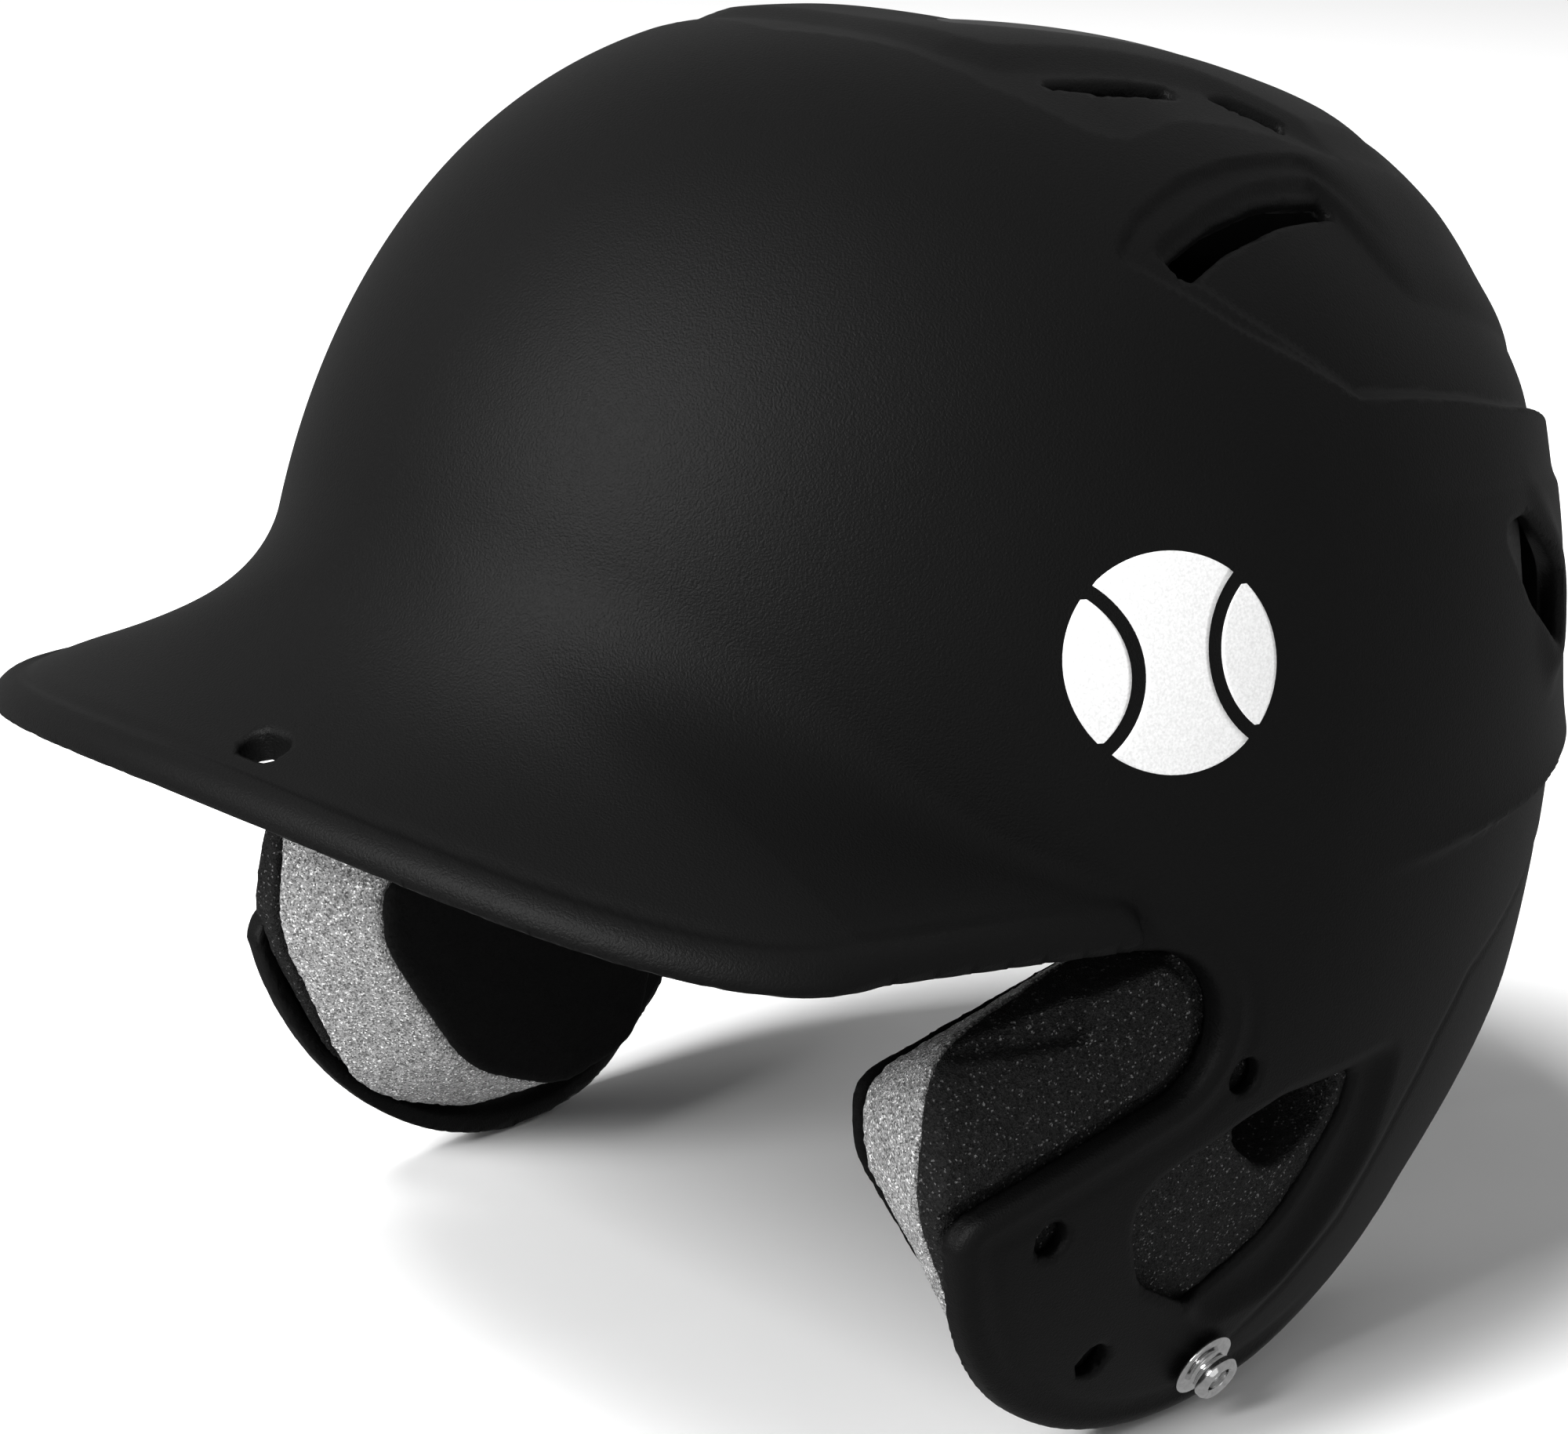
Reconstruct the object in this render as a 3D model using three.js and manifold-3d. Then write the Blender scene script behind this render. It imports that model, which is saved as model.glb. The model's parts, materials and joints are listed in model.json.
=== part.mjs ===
// Double-flap batting helmet: a one-piece moulded shell with a brim, a foam liner, two layered
// ear pads and a chin-strap snap on each flap.
// Millimetres. +Z is up, the brim points along -Y and the wearer's left is +X.
// Shapes are drawn with z = 0 at the widest level of the dome (the equator) and moved at the end,
// so that the origin is the middle of the underside of the whole helmet.
import * as THREE from 'three';
import { mergeVertices } from 'three/addons/utils/BufferGeometryUtils.js';
import Module from 'manifold-3d';

const wasm = await Module();
wasm.setup();

// ---------------------------------------------------------------- driving dimensions
const HALF_WIDTH = 105;          // dome half width at the equator
const FRONT_REACH = 108;         // dome, from its widest line to the forehead
const REAR_REACH = 134;          // dome, from its widest line to the back
const CROWN_HEIGHT = 121;        // dome top above the equator
const PLAN_POWER = 1.97;         // superellipse power of the plan outline
const FRONT_POWER = 2.09;        // power of the front profile
const REAR_POWER = 2.68;         // power of the fuller rear profile
const REAR_WIDENING = 0.08;      // the plan is this much wider behind and narrower in front
const FLAP_TUCK = 0.21;          // inward lean of the walls 100 below the equator
const FLAP_FLARE = 95;           // extra front reach that keeps the flaps nearly flat
const FLARE_DEPTH = 60;          // depth below the equator where the flare is complete

const WALL = 3.4;                // shell wall
const GAP = 0.35;                // clearance kept between glued or riveted pieces

const BRIM_HALF_WIDTH = 100;
const BRIM_CORNER_Y = -97;       // where the front curve of the brim meets its straight sides
const BRIM_DEPTH = 42;           // front curve, from the corner line to the tip
const BRIM_POWER = 2.2;
const BRIM_TIP_Z = 14.7;         // underside of the brim's front edge
const BRIM_ARCH = 10.6;          // the edge drops this much towards each side
const BRIM_SIDE_DROP = 0.163;    // fall of the side edges towards the notch, per mm
const BRIM_SLOPE = 0.27;         // rise of the brim towards the dome, per mm
const BRIM_THICKNESS = 4.5;
const BRIM_STOCK = 1;            // extra underside that the face opening's cut takes off
const BRIM_FILLET = 16;
const BRIM_HOLE = { y: -127.4, width: 6, length: 9 };

const NOTCH = { y: -38, z: -3.5 };               // where the brim's side edge meets the dome
const FLAP = { y: -11, z: -40, radius: 59.5 };   // the lower edge of a flap is one arc
const FLAP_REAR_ANGLE = 30;                      // degrees below level where the arc ends
const NAPE_Z = -38;

const LINER_BASE = 9;            // dense foam against the shell
const LINER_COVER = 5;           // soft fabric-faced foam against the head

const EAR_LAYERS = [             // from the shell towards the head; taper 0 is the shell side
  { name: 'base_foam', thickness: 7, taper: 0, color: 0x3c3c3c },
  { name: 'core_foam', thickness: 19, taper: 0.5, color: 0x8a8a8a },
  { name: 'face_cover', thickness: 3, taper: 1, color: 0x050505 },
];
const EAR_PAD_OUTER_X = 80;      // shell side of the flat core layer

const SNAP = { y: -8, z: -89, tilt: 24, flange: 6, cap: 4.2, hollow: 2.3, rise: 4.6 };
const SNAP_STAND = 0.9;          // flange face to the middle of the curved wall's outer face
const SNAP_GRIP = 5.2;           // flange face to the eyelet's washer face inside
const GUARD_HOLES = [[-17, -32], [-51.5, -51.5], [-35, -79.5]];   // [y, z] on each flap
const GUARD_HOLE_RADIUS = 3;

const SHORTEST_EDGE = 0.03;
const AROUND = 44;               // dome facets around
const DOME_DEPTH = 110;          // how far the dome's walls run below the equator before trimming
const DOWN = 9;                  // dome facets from the pole to the equator

// ---------------------------------------------------------------- materials
const finish = (color, roughness, metalness = 0) =>
  new THREE.MeshStandardMaterial({ color, roughness, metalness });
const shellPlastic = finish(0x1b1b1b, 0.5);
const linerFoam = finish(0x2b2b2d, 0.95);
const linerFabric = finish(0x0c0c0c, 0.95);
const snapMetal = finish(0xd8d8d8, 0.12, 1);

// ---------------------------------------------------------------- solids
function turnedOut(geometry) {
  const index = geometry.index.array;
  for (let i = 0; i < index.length; i += 3) [index[i], index[i + 1]] = [index[i + 1], index[i]];
  return geometry;
}

function solid(geometry) {
  const bare = geometry.clone();
  for (const name of Object.keys(bare.attributes)) {
    if (name !== 'position') bare.deleteAttribute(name);
  }
  const merged = mergeVertices(bare, 1e-4);
  return new wasm.Manifold(new wasm.Mesh({
    numProp: 3,
    vertProperties: new Float32Array(merged.attributes.position.array),
    triVerts: new Uint32Array(merged.index.array),
  }));
}

// The triangles left when every edge shorter than the limit is closed up to one point.
function withoutShortEdges(points, triangles, limit) {
  const target = Uint32Array.from({ length: points.length / 3 }, (_, i) => i);
  const rootOf = (i) => {
    let root = i;
    while (target[root] !== root) root = target[root];
    return root;
  };
  for (let i = 0; i < triangles.length; i++) {
    const a = rootOf(triangles[i]);
    const b = rootOf(triangles[i % 3 === 2 ? i - 2 : i + 1]);
    const distance = Math.hypot(...[0, 1, 2].map((k) => points[3 * a + k] - points[3 * b + k]));
    if (a !== b && distance < limit) target[Math.max(a, b)] = Math.min(a, b);
  }
  const kept = [];
  for (let i = 0; i < triangles.length; i += 3) {
    const corners = [rootOf(triangles[i]), rootOf(triangles[i + 1]), rootOf(triangles[i + 2])];
    if (new Set(corners).size === 3) kept.push(...corners);
  }
  return kept;
}

function meshOf(name, manifold, material) {
  const data = manifold.getMesh();
  const geometry = new THREE.BufferGeometry();
  geometry.setAttribute('position', new THREE.BufferAttribute(new Float32Array(data.vertProperties), 3));
  geometry.setIndex(withoutShortEdges(data.vertProperties, data.triVerts, SHORTEST_EDGE));
  geometry.computeVertexNormals();
  const mesh = new THREE.Mesh(geometry, material);
  mesh.name = name;
  return mesh;
}

// A closed solid through rings of equal point counts, running either way round. The first and last
// ring are capped.
function loft(rings) {
  const count = rings[0].length;
  const points = rings.flat();
  const index = [];
  for (let r = 0; r < rings.length - 1; r++) {
    for (let i = 0; i < count; i++) {
      const a = r * count + i;
      const b = r * count + (i + 1) % count;
      index.push(a, b, a + count, b, b + count, a + count);
    }
  }
  const cap = (ring, first, flip) => {
    const middle = ring.reduce((sum, p) => sum.add(p), new THREE.Vector3()).divideScalar(count);
    points.push(middle);
    const hub = points.length - 1;
    for (let i = 0; i < count; i++) {
      const a = first + i;
      const b = first + (i + 1) % count;
      index.push(...(flip ? [b, a, hub] : [a, b, hub]));
    }
  };
  cap(rings[0], 0, true);
  cap(rings[rings.length - 1], (rings.length - 1) * count, false);
  const geometry = new THREE.BufferGeometry();
  geometry.setAttribute('position', new THREE.BufferAttribute(
    new Float32Array(points.flatMap((p) => [p.x, p.y, p.z])), 3));
  geometry.setIndex(index);
  const made = solid(geometry);
  return made.volume() > 0 ? made : solid(turnedOut(geometry));
}

// ---------------------------------------------------------------- outlines
// A closed outline through corners [u, v, radius], each rounded with an arc of that radius, or of
// the largest radius that its two edges have room for.
function roundedOutline(corners) {
  const shape = new THREE.Shape();
  corners.forEach(([u, v, wanted], i) => {
    const corner = new THREE.Vector2(u, v);
    const before = new THREE.Vector2(...corners.at(i - 1).slice(0, 2)).sub(corner);
    const after = new THREE.Vector2(...corners[(i + 1) % corners.length].slice(0, 2)).sub(corner);
    const room = 0.48 * Math.min(before.length(), after.length());
    before.normalize();
    after.normalize();
    const half = Math.acos(THREE.MathUtils.clamp(before.dot(after), -1, 1)) / 2;
    const setback = Math.min(wanted / Math.tan(half), room);
    const radius = setback * Math.tan(half);
    const start = corner.clone().addScaledVector(before, setback);
    const end = corner.clone().addScaledVector(after, setback);
    const centre = before.clone().add(after).normalize().multiplyScalar(radius / Math.sin(half)).add(corner);
    const clockwise = before.cross(after) > 0;
    if (i === 0) shape.moveTo(start.x, start.y);
    else shape.lineTo(start.x, start.y);
    const from = Math.atan2(start.y - centre.y, start.x - centre.x);
    const to = Math.atan2(end.y - centre.y, end.x - centre.x);
    shape.absarc(centre.x, centre.y, radius, from, to, clockwise);
  });
  shape.closePath();
  return shape;
}

// Extrude an outline along one axis, from low to high. The outline's two coordinates are the
// other two axes: (y, z) along X, (x, z) along Y and (x, y) along Z.
function prism(shape, axis, low, high, curveSegments = 3) {
  const geometry = new THREE.ExtrudeGeometry(shape, {
    depth: high - low, bevelEnabled: false, steps: 1, curveSegments,
  });
  geometry.translate(0, 0, low);
  const basis = new THREE.Matrix4();
  const [x, y, z] = [new THREE.Vector3(1, 0, 0), new THREE.Vector3(0, 1, 0), new THREE.Vector3(0, 0, 1)];
  if (axis === 'x') basis.makeBasis(y, z, x);
  if (axis === 'y') basis.makeBasis(x, z, y.clone().negate());
  if (axis !== 'z') geometry.applyMatrix4(basis);
  if (axis === 'y') geometry.translate(0, low + high, 0);
  return solid(geometry);
}

const mirrored = (manifold) => manifold.mirror([1, 0, 0]);
const onSide = (manifold, side) => (side > 0 ? manifold : mirrored(manifold));

// ---------------------------------------------------------------- the dome
const smooth = (t) => t * t * (3 - 2 * t);

function frontReach(z) {
  return FRONT_REACH + FLAP_FLARE * smooth(THREE.MathUtils.clamp(-z / FLARE_DEPTH, 0, 1));
}

// A point on the dome. The angle runs around the plan; the level runs from 1 at the crown to 0 at
// the equator, and below that it is the depth in mm, as a negative number.
function domePoint(angle, level) {
  const z = Math.min(level, 0);
  const c = Math.cos(angle);
  const s = Math.sin(angle);
  const unit = (Math.abs(c) ** PLAN_POWER + Math.abs(s) ** PLAN_POWER) ** (-1 / PLAN_POWER);
  const reach = s < 0 ? frontReach(z) : REAR_REACH;
  let scale = 1 - FLAP_TUCK * (z / 100) ** 2;
  let height = z;
  if (level > 0) {
    for (let pass = 0; pass < 6; pass++) {
      const t = s * unit * scale;
      const power = FRONT_POWER + (REAR_POWER - FRONT_POWER) * 0.5 * (1 + t);
      scale = Math.cos(level * Math.PI / 2) ** (2 / power);
      height = CROWN_HEIGHT * Math.sin(level * Math.PI / 2) ** (2 / power);
    }
  }
  const t = s * unit * scale;
  const x = HALF_WIDTH * (1 + REAR_WIDENING * t) * c * unit * scale;
  return new THREE.Vector3(x, reach * t, height);
}

function domePointOffset(angle, level, offset) {
  const step = 1e-3;
  const across = domePoint(angle + step, level).sub(domePoint(angle - step, level));
  const rise = level <= 0 ? [0.05, -0.05] : [1e-3, -1e-3];
  const up = domePoint(angle, Math.min(level + rise[0], 0.9999)).sub(domePoint(angle, level + rise[1]));
  const normal = across.cross(up).normalize();
  return domePoint(angle, level).addScaledVector(normal, offset);
}

// The dome as a solid, grown or shrunk along its normals. Every dome has its rings at the same
// levels, so that nested ones stay apart; a deeper floor lets one cut right through another.
function dome(offset, extraDepth = 0) {
  const levels = [-DOME_DEPTH - extraDepth];
  for (const share of [0.9, 0.7, 0.52, 0.35, 0.2, 0.1]) levels.push(-DOME_DEPTH * share);
  for (let i = 0; i < DOWN; i++) levels.push(i / DOWN);
  levels.push(0.985);
  return loft(levels.map((level) => Array.from({ length: AROUND }, (_, i) => {
    const point = domePointOffset((i + 0.5) * 2 * Math.PI / AROUND, level, offset);
    if (level < 0) point.z = level;
    return point;
  })));
}

// How far round the plan a point lies: 1 on the dome's widest outline.
function planRatio(x, y) {
  const t = y / (y < 0 ? FRONT_REACH : REAR_REACH);
  const across = Math.abs(x) / (HALF_WIDTH * (1 + REAR_WIDENING * THREE.MathUtils.clamp(t, -1, 1)));
  return (across ** PLAN_POWER + Math.abs(t) ** PLAN_POWER) ** (1 / PLAN_POWER);
}

// ---------------------------------------------------------------- the brim
// The height of the brim's underside over any plan point, and below the dome's front wall.
function brimUnderside(x, y) {
  const u = Math.abs(x) / BRIM_HALF_WIDTH;
  const v = Math.max(0, BRIM_CORNER_Y - y) / BRIM_DEPTH;
  const ratio = Math.max((u ** BRIM_POWER + v ** BRIM_POWER) ** (1 / BRIM_POWER), 0.05);
  const slopeU = (u / ratio) ** (BRIM_POWER - 1) / BRIM_HALF_WIDTH;
  const slopeV = (v / ratio) ** (BRIM_POWER - 1) / BRIM_DEPTH;
  const inwards = THREE.MathUtils.clamp((1 - ratio) / Math.max(Math.hypot(slopeU, slopeV), 1e-4), 0, 36);
  const sideDrop = BRIM_SIDE_DROP * Math.max(0, y - BRIM_CORNER_Y) * u * u;
  return BRIM_TIP_Z - BRIM_ARCH * u * u - sideDrop + BRIM_SLOPE * inwards;
}

// The brim's plan edge, from the right-hand notch (s = 0) round the front to the left (s = 1).
function brimEdge(s) {
  const side = s < 0.5 ? -1 : 1;
  const along = 1 - Math.abs(2 * s - 1);
  const straight = 0.3;
  if (along < straight) {
    const t = along / straight;
    const y = THREE.MathUtils.lerp(NOTCH.y, BRIM_CORNER_Y, t);
    return [side * THREE.MathUtils.lerp(95.5, BRIM_HALF_WIDTH, smooth(t)), y];
  }
  const turn = (along - straight) / (1 - straight) * Math.PI / 2;
  const x = BRIM_HALF_WIDTH * Math.cos(turn) ** (2 / BRIM_POWER);
  return [side * x, BRIM_CORNER_Y - BRIM_DEPTH * Math.sin(turn) ** (2 / BRIM_POWER)];
}

function brim() {
  const stations = 32;
  const wallRatio = 0.978;
  const aim = [0, -40];
  const rings = [];
  for (let i = 0; i <= stations; i++) {
    const [edgeX, edgeY] = brimEdge(i / stations);
    let near = 0;
    let far = 1;
    for (let pass = 0; pass < 30; pass++) {
      const middle = (near + far) / 2;
      const ratio = planRatio(edgeX + (aim[0] - edgeX) * middle, edgeY + (aim[1] - edgeY) * middle);
      if (ratio > wallRatio) near = middle;
      else far = middle;
    }
    const at = (share) => [edgeX + (aim[0] - edgeX) * near * share, edgeY + (aim[1] - edgeY) * near * share];
    const span = Math.hypot(aim[0] - edgeX, aim[1] - edgeY) * near;
    const top = (share) => {
      const [x, y] = at(share);
      const fromWall = Math.max(span * (1 - share) - 2.2, 0.6);
      const inFillet = Math.max(BRIM_FILLET - fromWall, 0);
      const fillet = BRIM_FILLET - Math.sqrt(BRIM_FILLET ** 2 - inFillet ** 2);
      const cap = Math.min(fillet, span * 0.5);
      return new THREE.Vector3(x, y, brimUnderside(x, y) + BRIM_THICKNESS + cap * share);
    };
    const bottom = (share) => {
      const [x, y] = at(share);
      return new THREE.Vector3(x, y, brimUnderside(x, y) - BRIM_STOCK);
    };
    rings.push([bottom(0), top(0), top(0.4), top(0.62), top(0.8), top(0.92), top(1), bottom(1), bottom(0.5)]);
  }
  return loft(rings);
}

// The space just under the brim, in front of the notch, to cut the dome's front wall away.
function spaceUnderBrim() {
  const floor = -28;
  const columns = 25;
  const rows = 12;
  const halfSpan = 130;
  const rings = [];
  for (let row = 0; row <= rows; row++) {
    const y = THREE.MathUtils.lerp(-150, NOTCH.y + 0.7, row / rows);
    const top = Array.from({ length: columns }, (_, i) => {
      const x = THREE.MathUtils.lerp(-halfSpan, halfSpan, i / (columns - 1));
      return new THREE.Vector3(x, y, brimUnderside(x, y));
    });
    rings.push([...top, new THREE.Vector3(halfSpan, y, floor), new THREE.Vector3(-halfSpan, y, floor)]);
  }
  return loft(rings);
}

// ---------------------------------------------------------------- side view cut
// Everything below the rim in side view: the face opening, the notch, the flap's arc and the nape.
function spaceBelowRim() {
  const front = -240;
  const floor = -200;
  const arcStart = Math.PI + Math.asin(8 / FLAP.radius);
  const arcEnd = 2 * Math.PI - THREE.MathUtils.degToRad(FLAP_REAR_ANGLE);
  const shape = new THREE.Shape();
  shape.moveTo(front, NOTCH.z);
  shape.lineTo(-38, NOTCH.z);
  shape.absarc(-38, NOTCH.z - 16, 16, Math.PI / 2, 0, true);
  shape.absarc(-35, -22, 12.5, 0, -Math.PI * 0.38, true);
  shape.lineTo(-62, -44);
  shape.absarc(FLAP.y, FLAP.z, FLAP.radius, arcStart, arcEnd, false);
  shape.bezierCurveTo(56, -52, 76, NAPE_Z - 4, 108, NAPE_Z);
  shape.lineTo(200, NAPE_Z + 4);
  shape.lineTo(200, floor);
  shape.lineTo(front, floor);
  shape.closePath();
  return prism(shape, 'x', -150, 150, 9);
}

// ---------------------------------------------------------------- openings in the shell
const EAR_PORT = [[16, -38.5, 4], [-12, -38.5, 30], [-42, -48, 9], [-14, -79, 8], [7, -61, 30]];
const SIDE_VENT = [
  [-14, 88.5, 1.5], [6, 90.5, 60], [33, 92, 1.5], [31, 97.5, 2], [4, 96, 60], [-13, 91, 1.5],
];
const CROWN_SLOTS = [
  [[39, -9, 1], [50, 17, 1.6], [46.5, 17, 1.6], [43, 5, 20]],
  [[47, 24, 1.2], [58, 36, 1.2], [54, 37, 1.2], [47.5, 29, 1.2]],
];
const REAR_VENT = [[48, 42, 2], [62, 42, 5], [72, 27, 4], [69, 21, 2], [58, 30, 12]];

function flapOpenings(side) {
  const parts = [prism(roundedOutline(EAR_PORT), 'x', 60, 130, 2)];
  for (const [y, z] of GUARD_HOLES) {
    const hole = new THREE.Shape().absellipse(y, z, GUARD_HOLE_RADIUS, GUARD_HOLE_RADIUS, 0, 2 * Math.PI);
    parts.push(prism(hole, 'x', 60, 130, 5));
  }
  return parts.map((part) => onSide(part, side));
}

function ventOpenings(side) {
  const parts = CROWN_SLOTS.map((corners) => prism(roundedOutline(corners), 'z', 80, 140, 1));
  parts.push(prism(roundedOutline(SIDE_VENT), 'x', 50, 100, 2));
  parts.push(prism(roundedOutline(REAR_VENT), 'x', 60, 130, 2));
  return parts.map((part) => onSide(part, side));
}

function brimHole() {
  const half = BRIM_HOLE.width / 2;
  const straight = (BRIM_HOLE.length - BRIM_HOLE.width) / 2;
  const shape = new THREE.Shape();
  shape.absarc(straight, BRIM_HOLE.y, half, -Math.PI / 2, Math.PI / 2, false);
  shape.absarc(-straight, BRIM_HOLE.y, half, Math.PI / 2, 1.5 * Math.PI, false);
  return prism(shape, 'z', 0, 60, 4);
}

// ---------------------------------------------------------------- crown ridge
const RIDGE_RISE = 2.2;
const RIDGE = [[-33, -14, 8], [33, -14, 8], [42, 8, 30], [58, 38, 6], [50, 74, 20], [-50, 74, 20],
  [-58, 38, 6], [-42, 8, 30]];

function crownRidge() {
  return prism(roundedOutline(RIDGE), 'z', 60, 140, 2).intersect(dome(RIDGE_RISE));
}

// ---------------------------------------------------------------- snaps
// The snap's own frame has its axis along +Z and z = 0 on the shell's outer face.
function snapPlacement(side) {
  const tilt = THREE.MathUtils.degToRad(SNAP.tilt);
  const axis = new THREE.Vector3(Math.cos(tilt), 0, -Math.sin(tilt));
  const wall = domePointOffset(-0.06, SNAP.z, 0);
  const group = new THREE.Matrix4();
  const fore = new THREE.Vector3(0, 1, 0);
  group.makeBasis(fore, new THREE.Vector3().crossVectors(axis, fore), axis);
  group.setPosition(wall.x + SNAP_STAND, SNAP.y, SNAP.z);
  if (side < 0) group.premultiply(new THREE.Matrix4().makeScale(-1, 1, 1));
  return group;
}

function lathe(profile, segments) {
  const points = profile.toReversed().map(([r, z]) => new THREE.Vector2(r, z));
  points.push(points[0].clone());
  const geometry = new THREE.LatheGeometry(points, segments);
  return geometry.rotateX(Math.PI / 2);
}

// The stud: a flange on the shell and a waisted cap that the strap's socket snaps over.
function studGeometry() {
  const { flange, cap, hollow, rise } = SNAP;
  return lathe([
    [hollow, 0], [hollow, rise], [cap - 0.6, rise], [cap, rise - 0.7], [cap, rise - 1.6],
    [cap - 0.7, rise - 2.4], [cap - 0.6, 1.5], [flange - 0.4, 0.9], [flange, 0.4], [flange - 0.3, 0],
  ], 24);
}

// The eyelet: a washer face inside the shell and a tube through it into the stud.
function eyeletGeometry() {
  const inside = -SNAP_GRIP;
  const tube = SNAP.hollow - GAP;
  return lathe([
    [1.2, inside - 0.8], [1.2, SNAP.rise - 1.2], [tube, SNAP.rise - 1.2], [tube, inside],
    [5, inside], [5.2, inside - 0.4], [4.8, inside - 0.8],
  ], 20);
}

function snapSeat(side) {
  const bore = new THREE.CylinderGeometry(SNAP.hollow + 0.1, SNAP.hollow + 0.1, 24, 16).rotateX(Math.PI / 2);
  const outside = new THREE.CylinderGeometry(SNAP.flange + 1, SNAP.flange + 1, 10, 24)
    .rotateX(Math.PI / 2).translate(0, 0, 5 - GAP);
  const inner = new THREE.CylinderGeometry(SNAP.flange, SNAP.flange, 10, 20)
    .rotateX(Math.PI / 2).translate(0, 0, -5 - SNAP_GRIP + GAP);
  return [bore, outside, inner].map((geometry) => placedSolid(geometry, snapPlacement(side)));
}

// Room for the eyelet's washer in the back of an ear pad.
function eyeletPocket(side) {
  const pocket = new THREE.CylinderGeometry(SNAP.flange + 0.6, SNAP.flange + 0.6, 12, 20);
  pocket.rotateX(Math.PI / 2).translate(0, 0, 3 - SNAP_GRIP - 6);
  return placedSolid(pocket, snapPlacement(side));
}

// A solid from a geometry after a placement; a mirrored placement turns the faces out again.
function placedSolid(geometry, placement) {
  const placed = geometry.clone().applyMatrix4(placement);
  return solid(placement.determinant() < 0 ? turnedOut(placed) : placed);
}

// ---------------------------------------------------------------- the shell
function shell() {
  let body = dome(0).add(crownRidge()).add(brim()).subtract(dome(-WALL, 10));
  body = body.subtract(spaceUnderBrim()).subtract(spaceBelowRim()).subtract(brimHole());
  for (const side of [1, -1]) {
    for (const part of [...flapOpenings(side), ...ventOpenings(side), ...snapSeat(side)]) {
      body = body.subtract(part);
    }
  }
  return body;
}

// ---------------------------------------------------------------- liner pads
const LINER = {
  front: { axis: 'y', low: -150, high: -20, sides: [0],
    outline: [[-58, 34, 10], [0, 31, 60], [58, 34, 10], [50, 72, 14], [-50, 72, 14]] },
  crown: { axis: 'z', low: 60, high: 140, sides: [0],
    outline: [[-33, -46, 12], [33, -46, 12], [36, 62, 14], [-36, 62, 14]] },
  rear: { axis: 'y', low: 30, high: 160, sides: [0],
    outline: [[-56, -22, 10], [0, -26, 50], [56, -22, 10], [58, 58, 14], [-58, 58, 14]] },
  side: { axis: 'x', low: 40, high: 130, sides: [1, -1],
    outline: [[-44, 8, 8], [40, 8, 20], [66, -14, 10], [66, 62, 14], [-44, 68, 14]] },
};

function linerPads() {
  const outer = dome(-WALL - GAP);
  const between = dome(-WALL - GAP - LINER_BASE, 10);
  const betweenInner = dome(-WALL - 2 * GAP - LINER_BASE);
  const inner = dome(-WALL - 2 * GAP - LINER_BASE - LINER_COVER, 10);
  const meshes = [];
  for (const [place, { axis, low, high, sides, outline }] of Object.entries(LINER)) {
    for (const side of sides) {
      const column = onSide(prism(roundedOutline(outline), axis, low, high, 1), side || 1);
      const label = side === 0 ? place : (side > 0 ? 'left_side' : 'right_side');
      meshes.push(meshOf(`liner_${label}_base`, column.intersect(outer.subtract(between)), linerFoam));
      const coverSolid = column.intersect(betweenInner.subtract(inner));
      meshes.push(meshOf(`liner_${label}_cover`, coverSolid, linerFabric));
    }
  }
  return meshes;
}

// ---------------------------------------------------------------- ear pads
// The pad narrows from the shell towards the head, so a layer's outline lies between these two.
const EAR_PAD_SHELL_SIDE = [[-67, -21, 12], [-69, -46, 26], [-52, -84, 30], [-22, -94.5, 24], [1, -86, 14],
  [5, -64, 10], [26, -44, 14], [27, 2, 12]];
const EAR_PAD_HEAD_SIDE = [[-61, -33, 9], [-60, -46, 18], [-42, -74, 26], [-20, -83.5, 18], [-1, -79, 12],
  [4, -62, 10], [22, -48, 12], [24, -20, 10]];
const EAR_OPENING = [[-12, -38, 7], [-13, -46, 8], [-1, -56, 8], [11, -48, 8], [11, -38, 7]];

function taperedOutline(taper) {
  const between = (a, b) => a + (b - a) * taper;
  const mixed = (corner, other) => corner.map((value, k) => between(value, other[k]));
  return EAR_PAD_SHELL_SIDE.map((corner, i) => mixed(corner, EAR_PAD_HEAD_SIDE[i]));
}

function earPads(side) {
  const within = dome(-WALL - GAP);
  const label = side > 0 ? 'left' : 'right';
  const meshes = [];
  let outerX = 120;
  let innerX = EAR_PAD_OUTER_X;
  for (const { name, thickness, taper, color } of EAR_LAYERS) {
    const isBase = name === 'base_foam';
    innerX = isBase ? EAR_PAD_OUTER_X : outerX - thickness;
    const block = prism(roundedOutline(taperedOutline(taper)), 'x', innerX, outerX, 3);
    const opening = prism(roundedOutline(EAR_OPENING), 'x', innerX - 1, outerX + 1, 2);
    const layer = onSide(block.subtract(opening), side).intersect(within).subtract(eyeletPocket(side));
    meshes.push(meshOf(`${label}_ear_${name}`, layer, finish(color, 0.95)));
    outerX = innerX - GAP;
  }
  return meshes;
}

// ---------------------------------------------------------------- assembly
function snaps(side) {
  const label = side > 0 ? 'left' : 'right';
  return [
    meshOf(`${label}_snap_stud`, placedSolid(studGeometry(), snapPlacement(side)), snapMetal),
    meshOf(`${label}_snap_eyelet`, placedSolid(eyeletGeometry(), snapPlacement(side)), snapMetal),
  ];
}

const helmet = new THREE.Group();
helmet.add(meshOf('shell', shell(), shellPlastic));
helmet.add(...linerPads());
for (const side of [1, -1]) helmet.add(...earPads(side), ...snaps(side));

const bounds = new THREE.Box3().setFromObject(helmet);
const middle = bounds.getCenter(new THREE.Vector3());
helmet.position.set(-middle.x, -middle.y, -bounds.min.z);

export default helmet;
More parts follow.
